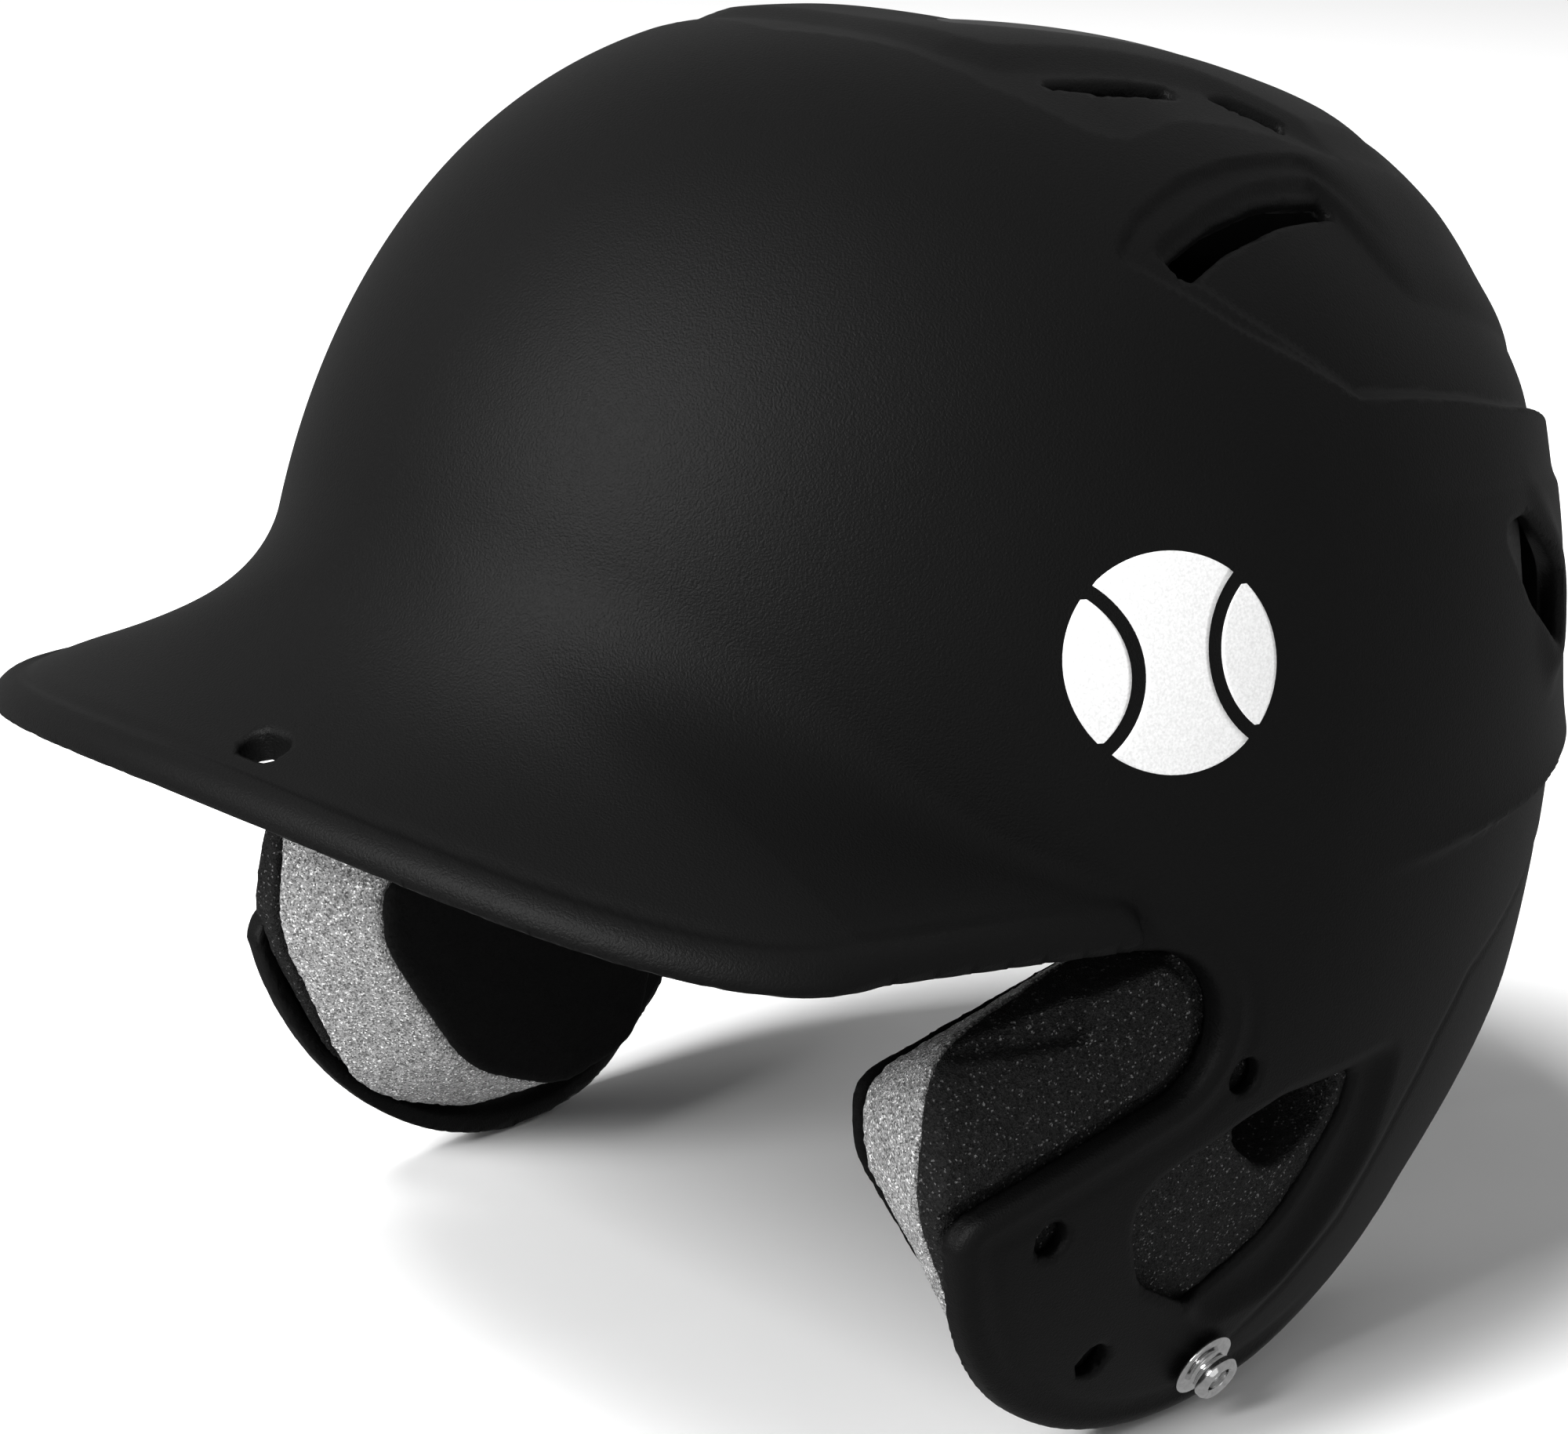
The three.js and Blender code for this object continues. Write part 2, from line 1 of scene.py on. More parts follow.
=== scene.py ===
"""Batting helmet: the finished look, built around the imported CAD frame.

Shapes are drawn in millimetres with z = 0 at the widest level of the dome, +X to the wearer's
left and -Y forwards, then moved into the row frame (metres). The shell and the pads are
distance fields, meshed on a grid and pulled onto the exact surface.
"""

import json
import math

import bpy
import numpy as np
import openvdb
from mathutils import Matrix, Vector


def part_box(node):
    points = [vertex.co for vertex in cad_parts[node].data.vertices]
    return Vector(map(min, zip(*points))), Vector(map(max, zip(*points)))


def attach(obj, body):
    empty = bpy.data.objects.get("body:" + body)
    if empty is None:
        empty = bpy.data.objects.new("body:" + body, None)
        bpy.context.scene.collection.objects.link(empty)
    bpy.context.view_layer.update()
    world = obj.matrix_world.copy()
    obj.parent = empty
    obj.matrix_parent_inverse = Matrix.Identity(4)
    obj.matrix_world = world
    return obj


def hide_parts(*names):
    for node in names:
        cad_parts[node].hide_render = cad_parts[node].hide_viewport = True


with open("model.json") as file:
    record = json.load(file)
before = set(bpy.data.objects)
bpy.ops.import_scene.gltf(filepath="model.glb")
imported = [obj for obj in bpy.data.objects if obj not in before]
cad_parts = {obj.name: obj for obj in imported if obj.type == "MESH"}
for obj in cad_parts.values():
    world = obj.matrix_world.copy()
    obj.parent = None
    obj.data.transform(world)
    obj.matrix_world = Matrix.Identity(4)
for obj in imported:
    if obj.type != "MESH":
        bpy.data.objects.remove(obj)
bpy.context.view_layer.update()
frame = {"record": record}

# ---------------------------------------------------------------- driving dimensions (mm)
HALF_WIDTH = 105.0
FRONT_REACH = 108.0
REAR_REACH = 134.0
CROWN_HEIGHT = 121.0
PLAN_POWER = 1.97
FRONT_POWER = 2.09
REAR_POWER = 2.68
REAR_WIDENING = 0.08
FLAP_TUCK = 0.21
FLAP_FLARE = 95.0
FLARE_DEPTH = 60.0
WALL = 3.4
GAP = 0.35

BRIM_HALF_WIDTH = 100.0
BRIM_CORNER_Y = -97.0
BRIM_DEPTH = 42.0
BRIM_POWER = 2.2
BRIM_TIP_Z = 13.3
BRIM_ARCH = 10.6
BRIM_SIDE_DROP = 0.163
BRIM_SLOPE = 0.27
BRIM_THICKNESS = 4.4
BRIM_BLEND = 24.0

NOTCH_Y = -38.0
NOTCH_Z = -8.0
FLAP_Y = -10.5
FLAP_Z = -41.0
FLAP_RADIUS = 58.5
FLAP_REAR_ANGLE = 30.0
NAPE_Z = -38.0

# Relief on the dome, all in mm of height
CROWN_FLATTENING = 4.2
CROWN_DIP = 1.5
RIDGE_RISE = 1.7
RECESS_DEPTH = 1.3
HOOD_DEPTH = 1.5
CREASE_STEP = 0.7
REAR_LIP = 1.8
REAR_UNDERCUT = 2.6
REAR_LOWERING = 2.4
VENT_RIB = 1.6
RIM_BEAD = 0.4
RIM_GROOVE = 0.25
PORT_DISH_DEPTH = 2.4
RIM_THICKENING = 1.8
BRIM_LIP = 0.7
BRIM_GROOVE = 0.3

LINER_BASE = 9.0
LINER_COVER = 5.0

SHELL_CELL = 1.25
PAD_CELL = 0.9

shell_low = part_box("shell")[0]
SHIFT_Y = shell_low[1] * 1000 - (BRIM_CORNER_Y - BRIM_DEPTH)
SHIFT_Z = shell_low[2] * 1000 - (FLAP_Z - FLAP_RADIUS)


def to_row(points):
    """Points from the drawing frame (mm) to the row frame (m)."""
    return (np.asarray(points, float) + (0, SHIFT_Y, SHIFT_Z)) / 1000


# ---------------------------------------------------------------- camera
CAMERA_AZIMUTH = math.radians(45.8)
CAMERA_ELEVATION = math.radians(17.5)
CAMERA_ROLL = math.radians(0.8)
CAMERA_TARGET = (0, -19.5, 3.0)
CAMERA_DISTANCE = 634.0
CAMERA_LENS = 85.7


def add_camera():
    az, el = CAMERA_AZIMUTH, CAMERA_ELEVATION
    back = Vector((math.sin(az) * math.cos(el), -math.cos(az) * math.cos(el), math.sin(el)))
    right = Vector((math.cos(az), math.sin(az), 0))
    up = back.cross(right)
    tilted_right = math.cos(CAMERA_ROLL) * right + math.sin(CAMERA_ROLL) * up
    tilted_up = -math.sin(CAMERA_ROLL) * right + math.cos(CAMERA_ROLL) * up
    place = Vector(to_row(CAMERA_TARGET)) + back * CAMERA_DISTANCE / 1000
    data = bpy.data.cameras.new("camera")
    data.lens = CAMERA_LENS
    data.sensor_width = 36
    camera = bpy.data.objects.new("camera", data)
    bpy.context.scene.collection.objects.link(camera)
    turn = Matrix((tilted_right, tilted_up, back)).transposed().to_4x4()
    camera.matrix_world = Matrix.Translation(place) @ turn
    bpy.context.scene.camera = camera


add_camera()


# ---------------------------------------------------------------- field helpers
def smooth(t):
    t = np.clip(t, 0, 1)
    return t * t * (3 - 2 * t)


def ramp(value, start, end):
    return smooth((value - start) / (end - start))


def soft_min(a, b, reach):
    near = np.maximum(reach - np.abs(a - b), 0) / reach
    return np.minimum(a, b) - near * near * reach * 0.25


def soft_max(a, b, reach):
    return -soft_min(-a, -b, reach)


def arc(centre, radius, start, end, steps):
    """Points on an arc, angles in degrees."""
    angles = np.radians(np.linspace(start, end, steps))
    return [(centre[0] + radius * math.cos(a), centre[1] + radius * math.sin(a)) for a in angles]


def rounded(corners, steps=5):
    """A closed outline through corners (u, v, radius), each corner rounded with an arc."""
    points = []
    count = len(corners)
    for i, (u, v, wanted) in enumerate(corners):
        corner = np.array((u, v), float)
        before = np.array(corners[i - 1][:2], float) - corner
        after = np.array(corners[(i + 1) % count][:2], float) - corner
        room = 0.48 * min(np.linalg.norm(before), np.linalg.norm(after))
        before /= np.linalg.norm(before)
        after /= np.linalg.norm(after)
        half = math.acos(np.clip(before @ after, -1, 1)) / 2
        setback = min(wanted / math.tan(half), room)
        start, end = corner + before * setback, corner + after * setback
        for t in np.linspace(0, 1, steps):
            points.append((1 - t) ** 2 * start + 2 * t * (1 - t) * corner + t * t * end)
    return np.array(points)


def outline_distance(u, v, points, margin=16.0):
    """Signed distance to a closed outline, negative inside. Far away it is only a lower bound."""
    u, v = np.broadcast_arrays(u, v)
    points = np.asarray(points, float)
    low, high = points.min(0), points.max(0)
    middle, half = (low + high) / 2, (high - low) / 2
    result = np.maximum(np.abs(u - middle[0]) - half[0], np.abs(v - middle[1]) - half[1])
    close = result < margin
    cu, cv = u[close], v[close]
    nearest = np.full(cu.shape, 1e9)
    inside = np.zeros(cu.shape, bool)
    for (ax, ay), (bx, by) in zip(points, np.roll(points, -1, 0)):
        ex, ey = bx - ax, by - ay
        length = ex * ex + ey * ey
        if length < 1e-9:
            continue
        pu, pv = cu - ax, cv - ay
        t = np.clip((pu * ex + pv * ey) / length, 0, 1)
        nearest = np.minimum(nearest, (pu - t * ex) ** 2 + (pv - t * ey) ** 2)
        if ey != 0:
            inside ^= ((ay > cv) != (by > cv)) & (pu < pv * ex / ey)
    result = result.astype(float)
    result[close] = np.where(inside, -1, 1) * np.sqrt(nearest)
    return result


# ---------------------------------------------------------------- outlines
CROWN_LINE = rounded([(-30, -25, 4), (0, -25, 20), (22, -19, 20), (40, -17, 10), (60, -9, 12), (57.5, 8, 20),
                      (62, 40, 20), (54, 76, 20), (0, 96, 30), (-30, 96, 10)])
RIDGE = rounded([(-30, -15, 4), (26, -15, 8), (37, -11, 5), (42, 8, 12), (48, 26, 12), (62, 42, 10),
                 (54, 74, 16), (0, 92, 30), (-30, 92, 6)])
CROWN_SLOTS = [
    rounded([(41, -9.5, 1), (47.6, 3, 14), (50.8, 16, 1.6), (47, 18, 1.6), (43.6, 5, 16)], 4),
    rounded([(49, 24, 1.2), (57.5, 34.5, 1.4), (55, 38, 1.4), (49, 30, 6)], 4),
]
# (y, v): v is twice the angle in degrees of a point above the side, about mm of surface
SIDE_VENT = rounded([(-13, 101.5, 1.6), (0, 105.6, 20), (15, 108.2, 30), (32, 108.6, 2),
                     (33.5, 105.4, 1.4), (16, 104, 30), (0, 101, 30), (-11, 97.3, 1.6)])
RECESS = rounded([(-22.5, 105, 3), (-14, 110, 8), (-3, 113.4, 20), (10, 115, 20), (34, 116, 30),
                  (150, 120, 1), (150, 70.5, 1), (60, 68.8, 60), (13, 73.2, 2.5), (-7, 87.5, 30)])
HOOD = rounded([(-16, 104.4, 3), (0, 108.6, 20), (14, 111.2, 20), (32, 112.4, 6), (39, 108, 6), (60, 104, 30),
                (150, 100, 1), (150, 71, 1), (60, 69.5, 60), (14, 74, 3), (-4, 90, 20)])
EAR_PORT = rounded([(13.5, -39.5, 4), (-10, -39, 30), (-37, -48.5, 9), (-30, -66, 12),
                    (-14, -76, 9), (3, -66, 24), (13, -47, 10)], 6)
PORT_DISH = rounded([(24, -34, 8), (-10, -36, 10), (-20, -52, 8), (-16, -84, 12),
                     (8, -80, 14), (22, -58, 20)], 8)
REAR_VENT = rounded([(47, 43.5, 3), (58, 43.5, 7), (73, 30, 8), (71, 19, 1.6), (57, 30, 14)], 6)
GUARD_HOLES = ((-17, -32), (-51.5, -51.5), (-35, -79.5))
GUARD_HOLE_RADIUS = 3.0
# half length, y and radius of the short slot near the brim's tip
BRIM_HOLE = (1.6, -127.4, 3.0)


def below_rim_outline():
    """The face opening, the notch, the flap's arc and the nape in side view (y, z)."""
    tip = math.degrees(math.asin(8 / FLAP_RADIUS))
    points = [(-260, -20), (-45, -20), (-45, NOTCH_Z), (-36.5, NOTCH_Z)]
    points += arc((-36.5, NOTCH_Z - 14), 14, 90, 0, 10)[1:]
    points += arc((-35, -22), 12.5, 0, -68, 8)
    points += [(-62, -44)]
    points += arc((-62.3, -50.8), 6.4, 100, 172, 6)
    points += arc((FLAP_Y, FLAP_Z), FLAP_RADIUS, 180 + tip + 3, 360 - FLAP_REAR_ANGLE, 36)
    start, end = np.array(points[-1]), np.array((108, NAPE_Z))
    hand_one, hand_two = np.array((56, -52)), np.array((76, NAPE_Z - 4))
    for t in np.linspace(0.06, 1, 14):
        s = 1 - t
        points.append(s ** 3 * start + 3 * s * s * t * hand_one + 3 * s * t * t * hand_two + t ** 3 * end)
    points += [(200, NAPE_Z + 4), (200, -260), (-260, -260)]
    return np.array(points)


BELOW_RIM = below_rim_outline()
REAR_CREASE = np.array([(78, -20), (62, -25), (44, -31), (35, -40), (28, -50), (18, -69), (8, -79), (-4, -88),
                        (-20, -140), (200, -140), (200, -20)])


# ---------------------------------------------------------------- the shell's field
def dome_field(x, y, z):
    """Distance to the bare dome, radial from the middle: positive outside."""
    depth = np.clip(-z / FLARE_DEPTH, 0, 1)
    front = FRONT_REACH + FLAP_FLARE * smooth(depth)
    t = y / np.where(y < 0, front, REAR_REACH)
    across = x / (HALF_WIDTH * (1 + REAR_WIDENING * np.clip(t, -1, 1)))
    ratio = (across ** PLAN_POWER + np.abs(t) ** PLAN_POWER + 1e-9) ** (1 / PLAN_POWER)
    power = FRONT_POWER + (REAR_POWER - FRONT_POWER) * 0.5 * (1 + np.clip(t, -1, 1))
    above = np.clip(z, 0, None)
    level = (ratio ** power + (above / CROWN_HEIGHT) ** power) ** (1 / power)
    level = level / np.maximum(1 - FLAP_TUCK * np.clip(-z / 100, 0, None) ** 2, 0.2)
    reach = np.sqrt(x * x + y * y + above * above) + 1e-6
    return (1 - 1 / level) * reach


def brim_inwards(x, y):
    """Distance inwards from the brim's plan edge, and the underside's height there."""
    u = x / BRIM_HALF_WIDTH
    v = np.maximum(0, BRIM_CORNER_Y - y) / BRIM_DEPTH
    ratio = np.maximum((u ** BRIM_POWER + v ** BRIM_POWER) ** (1 / BRIM_POWER), 0.05)
    slope_u = (u / ratio) ** (BRIM_POWER - 1) / BRIM_HALF_WIDTH
    slope_v = (v / ratio) ** (BRIM_POWER - 1) / BRIM_DEPTH
    inwards = np.clip((1 - ratio) / np.maximum(np.hypot(slope_u, slope_v), 1e-4), -60, 60)
    rise = BRIM_SLOPE * soft_min(np.maximum(inwards, -4), 36.0, 24.0)
    side_drop = BRIM_SIDE_DROP * np.maximum(0, y - BRIM_CORNER_Y) * u * u
    return inwards, BRIM_TIP_Z - BRIM_ARCH * u * u - side_drop + rise


def crown_relief(x, y):
    """The dip inside the crown line, the flat ridge in its middle and the flatter top behind it."""
    fade = 1 - ramp(y, 60, 96)
    flat = -CROWN_FLATTENING * np.exp(-(x / 24) ** 2) * ramp(y, -25, 30)
    dip = -CROWN_DIP * (1 - np.exp(np.minimum(outline_distance(x, y, CROWN_LINE), 0) / 7))
    rise = np.clip(-outline_distance(x, y, RIDGE) / 8.0, 0, 1)
    rise = 0.6 * rise + 0.4 * smooth(rise)
    return (flat + dip + RIDGE_RISE * rise) * fade


def around(x, z):
    """Twice the angle in degrees above the side: close to mm along the dome."""
    return np.degrees(np.arctan2(np.maximum(z, 1e-3), np.maximum(x, 1e-3))) * 2


def panel_relief(x, y, z):
    """The two soft steps down to the side vent, and the inset panel behind it."""
    v = around(x, z)
    back = ramp(y, 30, 48) * ramp(v, 76, 98)
    outer = -outline_distance(y, v, RECESS)
    inner = -outline_distance(y, v, HOOD)
    first = ramp(outer, -0.3, 1.7 + 16 * back)
    second = ramp(inner, -0.3, 2.2 + 24 * back)
    outer_step = RECESS_DEPTH * (0.7 + 0.3 * ramp(y, -20, 5)) * first
    return -(outer_step + HOOD_DEPTH * second) * (z > 20)


def rear_relief(y, z):
    """The soft crease, the lip that grows to the back, and the inward band above the rear rim."""
    crease = 52 - 0.0018 * np.maximum(y - 15, 0) ** 2
    relief = -CREASE_STEP * ramp(z, crease - 1.4, crease + 1.4) * ramp(y, 14, 44)
    relief = relief * (1 - ramp(z, crease + 1, crease + 16))
    lip = -3.0 + 0.02 * np.maximum(y - 60, 0)
    above = z - lip
    strength = ramp(y, 2, 62)
    over = REAR_LIP * np.exp(-np.maximum(above, 0) / 8.0)
    under = REAR_LIP - REAR_UNDERCUT * ramp(-above, 0, 2.4)
    relief = relief + strength * np.where(above > 0, over, under) * ramp(z, -60, -20)
    band = -outline_distance(y, z, REAR_CREASE, 60)
    relief = relief - (0.45 * np.exp(-((band - 0.4) / 1.1) ** 2) + 0.2 * ramp(band, 0, 2)) * ramp(y, -8, 8)
    relief = relief - REAR_LOWERING * ramp(y, 8, 62) * ramp(z, 52, 84)
    vent = outline_distance(y, z, REAR_VENT)
    rib = ramp(y, 58, 72)
    return relief + VENT_RIB * rib * np.exp(-((vent - 3.0) / 4.0) ** 2) * (z > 10)


def flap_relief(y, z, rim):
    """The bead and groove along the face opening's edge and the dish beside the ear port."""
    front = 1 - ramp(y, 6, 22)
    bead = (RIM_BEAD * (1 - ramp(rim, 2.4, 4.4)) - RIM_GROOVE * np.exp(-((rim - 5.8) / 1.2) ** 2)) * front
    dish = -PORT_DISH_DEPTH * ramp(-outline_distance(y, z, PORT_DISH), 0, 6.5) * (z < -20)
    return bead + dish


def wall_at(y, z, rim):
    """Wall thickness: the shell is thicker along the edge of the notch and the flap."""
    near = ramp(rim, -2.2, -1.4) * (1 - ramp(rim, 2.6, 5.0))
    return WALL + RIM_THICKENING * near * (1 - ramp(y, 6, 22)) * (1 - ramp(z, -4, 6))


def shell_field(x, y, z):
    """Signed distance to the finished shell, negative inside the plastic."""
    x = np.abs(x)
    dome = dome_field(x, y, z)
    rim = outline_distance(y, z, BELOW_RIM, 400)
    relief = crown_relief(x, y) * (z > 60)
    relief = relief + panel_relief(x, y, z) + rear_relief(y, z) + flap_relief(y, z, rim)
    outside = dome - relief
    inside = dome + wall_at(y, z, rim) - np.minimum(relief, 0) * 0.9
    inwards, under = brim_inwards(x, y)
    lip = BRIM_LIP * (1 - ramp(inwards, 3.2, 6.0))
    groove = -BRIM_GROOVE * np.exp(-((inwards - 6.4) / 1.3) ** 2)
    top = under + BRIM_THICKNESS + lip + groove
    slab = soft_max((z - top) * 0.965, (under - 3 - z) * 0.965, 0.5)
    brim = soft_max(soft_max(slab, -inwards, 4.0), y - NOTCH_Y, 6.0)
    blend = 3 + BRIM_BLEND * (1 - ramp(y, -104, -52))
    solid = soft_min(outside, brim, blend)
    face = np.maximum(np.maximum(z - under, y - NOTCH_Y), -28 - z)
    opening = soft_min(face, rim, 1.0)
    field = soft_max(solid, -opening, 2.4)
    field = soft_max(field, -inside, 1.2)
    return cut_openings(field, x, y, z)


def cut_openings(field, x, y, z):
    """Cuts the ear port, guard holes, crown slots, vents and brim slot through the shell."""
    side = x > 55
    far = 50.0
    port = np.where(side & (z < -20), outline_distance(y, z, EAR_PORT), far)
    field = soft_max(field, -port, 2.4)
    for hole_y, hole_z in GUARD_HOLES:
        hole = np.hypot(y - hole_y, z - hole_z) - GUARD_HOLE_RADIUS
        field = soft_max(field, -np.where(side, hole, far), 0.9)
    for slot in CROWN_SLOTS:
        field = soft_max(field, -np.where(z > 60, outline_distance(x, y, slot), far), 1.0)
    vent = outline_distance(y, around(x, z), SIDE_VENT)
    field = soft_max(field, -np.where((z > 60) & (x > 40), vent, far), 1.0)
    field = soft_max(field, -np.where(side & (y > 30), outline_distance(y, z, REAR_VENT), far), 1.6)
    half_length, slot_y, radius = BRIM_HOLE
    slot = np.hypot(np.maximum(x - half_length, 0), y - slot_y) - radius
    return soft_max(field, -np.where((z > 0) & (y < -110), slot, far), 0.8)


# ---------------------------------------------------------------- meshing
def gradient(field, points, step):
    """The field's value and gradient at points, from four samples round each."""
    corners = np.array(((1, -1, -1), (-1, -1, 1), (-1, 1, -1), (1, 1, 1)), float)
    value = np.zeros(len(points))
    slope = np.zeros((len(points), 3))
    for corner in corners:
        sample = field(*(points + corner * step).T)
        value += sample / 4
        slope += corner * sample[:, None] / (4 * step)
    return value, slope


def mesh_field(field, low, high, cell, passes=2, mirror=False):
    """Quads of the field's zero surface, with exact vertex places and normals."""
    low, high = np.array(low, float), np.array(high, float)
    counts = np.ceil((high - low) / cell).astype(int) + 1
    if mirror:
        reach = int(math.ceil(high[0] / cell))
        axes = [np.arange(reach + 1) * cell]
    else:
        axes = [low[0] + np.arange(counts[0]) * cell]
    axes += [low[i] + np.arange(counts[i]) * cell for i in (1, 2)]
    values = field(axes[0][:, None, None], axes[1][None, :, None], axes[2][None, None, :])
    values = np.broadcast_to(values, [len(a) for a in axes])
    if mirror:
        values = np.concatenate((values[:0:-1], values))
        low[0] = -reach * cell
    grid = openvdb.FloatGrid()
    grid.copyFromArray(np.ascontiguousarray(values, dtype=np.float32))
    points, quads = grid.convertToQuads(isovalue=0.0)
    points = points.astype(float) * cell + low
    for _ in range(passes):
        value, slope = gradient(field, points, 0.12)
        step = slope * (value / np.maximum((slope ** 2).sum(1), 0.25))[:, None]
        length = np.linalg.norm(step, axis=1, keepdims=True)
        points -= step * np.minimum(1, 0.6 * cell / np.maximum(length, 1e-9))
    _, slope = gradient(field, points, 0.2)
    normals = slope / np.maximum(np.linalg.norm(slope, axis=1, keepdims=True), 1e-9)
    return points, quads, normals


def add_mesh(name, points, faces, normals=None):
    """A smooth-shaded mesh object from points in the drawing frame."""
    mesh = bpy.data.meshes.new(name)
    mesh.from_pydata(to_row(points).tolist(), [], faces.tolist() if hasattr(faces, "tolist") else faces)
    mesh.validate()
    mesh.polygons.foreach_set("use_smooth", [True] * len(mesh.polygons))
    mesh.update()
    if normals is not None and len(mesh.vertices) == len(normals):
        mesh.normals_split_custom_set_from_vertices(normals.tolist())
    piece = bpy.data.objects.new(name, mesh)
    bpy.context.scene.collection.objects.link(piece)
    return piece


def finish_piece(piece, material, slot, *nodes, fill=None):
    """Gives a piece its material and body, and hides the CAD nodes it stands for."""
    piece.data.materials.clear()
    piece.data.materials.append(material)
    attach(piece, "root")
    if nodes:
        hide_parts(*nodes)
    return piece


# ---------------------------------------------------------------- materials
def new_material(name):
    material = bpy.data.materials.new(name)
    material.use_nodes = True
    tree = material.node_tree
    return material, tree, tree.nodes["Principled BSDF"]


def link(tree, source, target):
    tree.links.new(source, target)


def noise(tree, scale, detail=2.0, rough=0.5):
    """A noise texture on object coordinates, in the row frame."""
    place = tree.nodes.new("ShaderNodeTexCoord")
    node = tree.nodes.new("ShaderNodeTexNoise")
    node.inputs["Scale"].default_value = scale
    node.inputs["Detail"].default_value = detail
    node.inputs["Roughness"].default_value = rough
    link(tree, place.outputs["Object"], node.inputs["Vector"])
    return node


def voronoi(tree, scale):
    """A cell texture on object coordinates, in the row frame."""
    place = tree.nodes.new("ShaderNodeTexCoord")
    node = tree.nodes.new("ShaderNodeTexVoronoi")
    node.inputs["Scale"].default_value = scale
    link(tree, place.outputs["Object"], node.inputs["Vector"])
    return node


def color_ramp(tree, source, stops):
    node = tree.nodes.new("ShaderNodeValToRGB")
    node.color_ramp.elements[0].position = stops[0][0]
    node.color_ramp.elements[0].color = (*stops[0][1], 1)
    node.color_ramp.elements[1].position = stops[-1][0]
    node.color_ramp.elements[1].color = (*stops[-1][1], 1)
    for position, color in stops[1:-1]:
        node.color_ramp.elements.new(position).color = (*color, 1)
    link(tree, source, node.inputs["Fac"])
    return node


def map_range(tree, source, low, high):
    node = tree.nodes.new("ShaderNodeMapRange")
    node.inputs["To Min"].default_value = low
    node.inputs["To Max"].default_value = high
    link(tree, source, node.inputs["Value"])
    return node


def bump(tree, source, distance, strength, after=None):
    node = tree.nodes.new("ShaderNodeBump")
    node.inputs["Distance"].default_value = distance
    node.inputs["Strength"].default_value = strength
    link(tree, source, node.inputs["Height"])
    if after is not None:
        link(tree, after.outputs["Normal"], node.inputs["Normal"])
    return node


def grey(value):
    return (value, value, value)


def shell_material():
    """Matte moulded plastic: near black, with a very fine grain."""
    material, tree, surface = new_material("shell_plastic")
    grain = noise(tree, 2600, 2.0, 0.6)
    cloud = noise(tree, 18, 3.0)
    color = color_ramp(tree, cloud.outputs["Fac"], [(0.3, grey(0.0022)), (0.7, grey(0.0028))])
    link(tree, color.outputs["Color"], surface.inputs["Base Color"])
    rough = map_range(tree, grain.outputs["Fac"], 0.46, 0.56)
    link(tree, rough.outputs["Result"], surface.inputs["Roughness"])
    link(tree, bump(tree, grain.outputs["Fac"], 0.0002, 0.7).outputs["Normal"], surface.inputs["Normal"])
    surface.inputs["IOR"].default_value = 1.22
    return material


def foam_material(name, dark, middle, painted_glint_grey, painted_glint_share):
    """Open-cell foam: fine cells of mixed brightness; the brightest few are painted glints."""
    material, tree, surface = new_material(name)
    cells = voronoi(tree, 3200)
    separate = tree.nodes.new("ShaderNodeSeparateColor")
    link(tree, cells.outputs["Color"], separate.inputs["Color"])
    # The top stops are painted glints: a few cells made bright to stand for light catching the foam.
    stops = [(0.0, grey(dark)), (0.45, grey(middle * 0.7)), (0.85, grey(middle)),
             (1 - painted_glint_share, grey(middle * 1.4)), (1.0, grey(painted_glint_grey))]
    color = color_ramp(tree, separate.outputs["Red"], stops)
    link(tree, color.outputs["Color"], surface.inputs["Base Color"])
    coarse = noise(tree, 900, 3.0)
    first = bump(tree, cells.outputs["Distance"], 0.00025, 0.8)
    second = bump(tree, coarse.outputs["Fac"], 0.0006, 0.6, first)
    link(tree, second.outputs["Normal"], surface.inputs["Normal"])
    surface.inputs["Roughness"].default_value = 0.85
    surface.inputs["Specular IOR Level"].default_value = 0.25
    return material


def fabric_material(name, low, high, scale):
    """Brushed knit: short fibres over a fine weave, with a soft sheen."""
    material, tree, surface = new_material(name)
    fibres = noise(tree, scale, 6.0, 0.7)
    patches = noise(tree, 60, 3.0)
    color = color_ramp(tree, fibres.outputs["Fac"], [(0.3, grey(low)), (0.75, grey(high))])
    link(tree, color.outputs["Color"], surface.inputs["Base Color"])
    first = bump(tree, fibres.outputs["Fac"], 0.0004, 0.7)
    second = bump(tree, patches.outputs["Fac"], 0.0008, 0.25, first)
    link(tree, second.outputs["Normal"], surface.inputs["Normal"])
    surface.inputs["Roughness"].default_value = 0.95
    surface.inputs["Specular IOR Level"].default_value = 0.1
    return material


def eva_material():
    """Closed-cell liner foam: smooth skin with fine pits."""
    material, tree, surface = new_material("liner_foam")
    pits = voronoi(tree, 900)
    mottle = noise(tree, 90, 4.0)
    color = color_ramp(tree, mottle.outputs["Fac"], [(0.3, grey(0.016)), (0.7, grey(0.024))])
    link(tree, color.outputs["Color"], surface.inputs["Base Color"])
    link(tree, bump(tree, pits.outputs["Distance"], 0.0003, 0.4).outputs["Normal"], surface.inputs["Normal"])
    surface.inputs["Roughness"].default_value = 0.8
    return material


